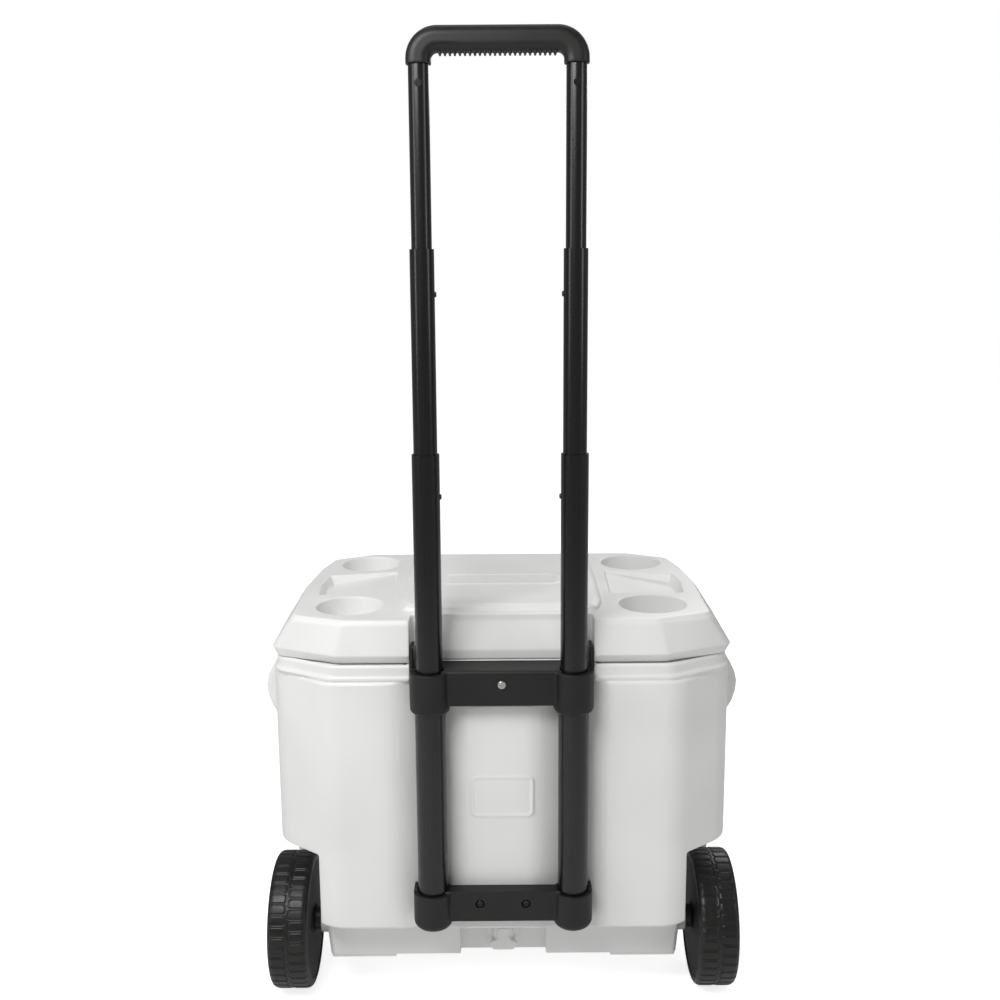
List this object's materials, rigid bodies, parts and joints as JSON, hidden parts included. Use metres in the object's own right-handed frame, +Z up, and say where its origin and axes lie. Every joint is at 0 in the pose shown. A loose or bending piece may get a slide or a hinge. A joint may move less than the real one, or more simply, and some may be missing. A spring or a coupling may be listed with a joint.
{
  "type": "wheeled hard cooler",
  "caption": "Hard-sided insulated chest on two wheels with a hinged lid, moulded cup holders, side grips, a pull-out drain plug and a telescoping pull handle.",
  "frame": {"origin": "on the floor, below the middle of the bounding box, with the handle fully extended", "axes": "+X to the right seen from the handle side, -Y towards the handle and wheel side, +Z up"},
  "size_m": [0.538, 0.3594, 1.039],
  "materials": {
    "white_shell": "satin",
    "white_liner": "satin",
    "foam": "matte",
    "black_plastic": "satin",
    "black_tube": "gloss",
    "tread_plastic": "matte",
    "steel": "satin",
    "nylon": "satin",
    "seal": "matte"
  },
  "bodies": {
    "tub": {"outer_shell": "white_shell", "tub_foam": "foam", "inner_liner": "white_liner", "drain_spout": "white_shell", "drain_gasket": "seal", "drain_nut": "white_shell", "hinge_body_leaf_left": "white_shell", "hinge_body_leaf_right": "white_shell", "hinge_pins": "steel", "hinge_screws_body": "steel", "upper_bracket": "black_plastic", "lower_bracket": "black_plastic", "upper_bracket_screw": "steel", "lower_bracket_screws": "steel", "fixed_tube_left": "black_tube", "fixed_tube_right": "black_tube", "fixed_tube_guides": "nylon", "axle_pin_left": "steel", "axle_pin_right": "steel", "axle_washers": "nylon", "axle_caps": "steel"},
    "lid": {"lid_shell": "white_shell", "lid_foam": "foam", "lid_liner": "white_liner", "hinge_lid_leaf_left": "white_shell", "hinge_lid_leaf_right": "white_shell", "hinge_screws_lid": "steel"},
    "handle_second": {"second_tube_left": "black_tube", "second_tube_right": "black_tube", "second_tube_guides": "nylon", "second_tube_shoes": "nylon", "second_snap_buttons": "steel"},
    "handle_third": {"third_tube_left": "black_tube", "third_tube_right": "black_tube", "third_tube_guides": "nylon", "third_tube_shoes": "nylon", "third_snap_buttons": "steel"},
    "handle_top": {"top_tube_left": "black_tube", "top_tube_right": "black_tube", "top_tube_shoes": "nylon", "top_snap_buttons": "steel", "grip": "black_plastic", "grip_rivets": "black_tube"},
    "wheel_left": {"wheel_hub_left": "black_plastic", "wheel_tread_left": "tread_plastic"},
    "wheel_right": {"wheel_hub_right": "black_plastic", "wheel_tread_right": "tread_plastic"},
    "drain_plug": {"drain_plug": "white_shell"}
  },
  "joints": [
    {"name": "lid_hinge", "type": "hinge", "parent": "tub", "child": "lid", "pos_m": [0, 0.1737, 0.407], "axis": [-1, 0, 0], "range_deg": [0, 95]},
    {"name": "second_slide", "type": "slide", "parent": "tub", "child": "handle_second", "axis": [0, 0, 1], "range_m": [-0.2265, 0], "deforming": ["second_snap_buttons"]},
    {"name": "third_slide", "type": "slide", "parent": "handle_second", "child": "handle_third", "axis": [0, 0, 1], "range_m": [-0.2, 0], "deforming": ["third_snap_buttons"]},
    {"name": "top_slide", "type": "slide", "parent": "handle_third", "child": "handle_top", "axis": [0, 0, 1], "range_m": [-0.1485, 0], "deforming": ["top_snap_buttons"]},
    {"name": "wheel_left_spin", "type": "hinge", "parent": "tub", "child": "wheel_left", "pos_m": [-0.239, -0.0703, 0.076], "axis": [1, 0, 0], "continuous": true},
    {"name": "wheel_right_spin", "type": "hinge", "parent": "tub", "child": "wheel_right", "pos_m": [0.239, -0.0703, 0.076], "axis": [1, 0, 0], "continuous": true},
    {"name": "drain_plug_pull", "type": "slide", "parent": "tub", "child": "drain_plug", "axis": [0, -1, 0], "range_m": [0, 0.03]}
  ]
}
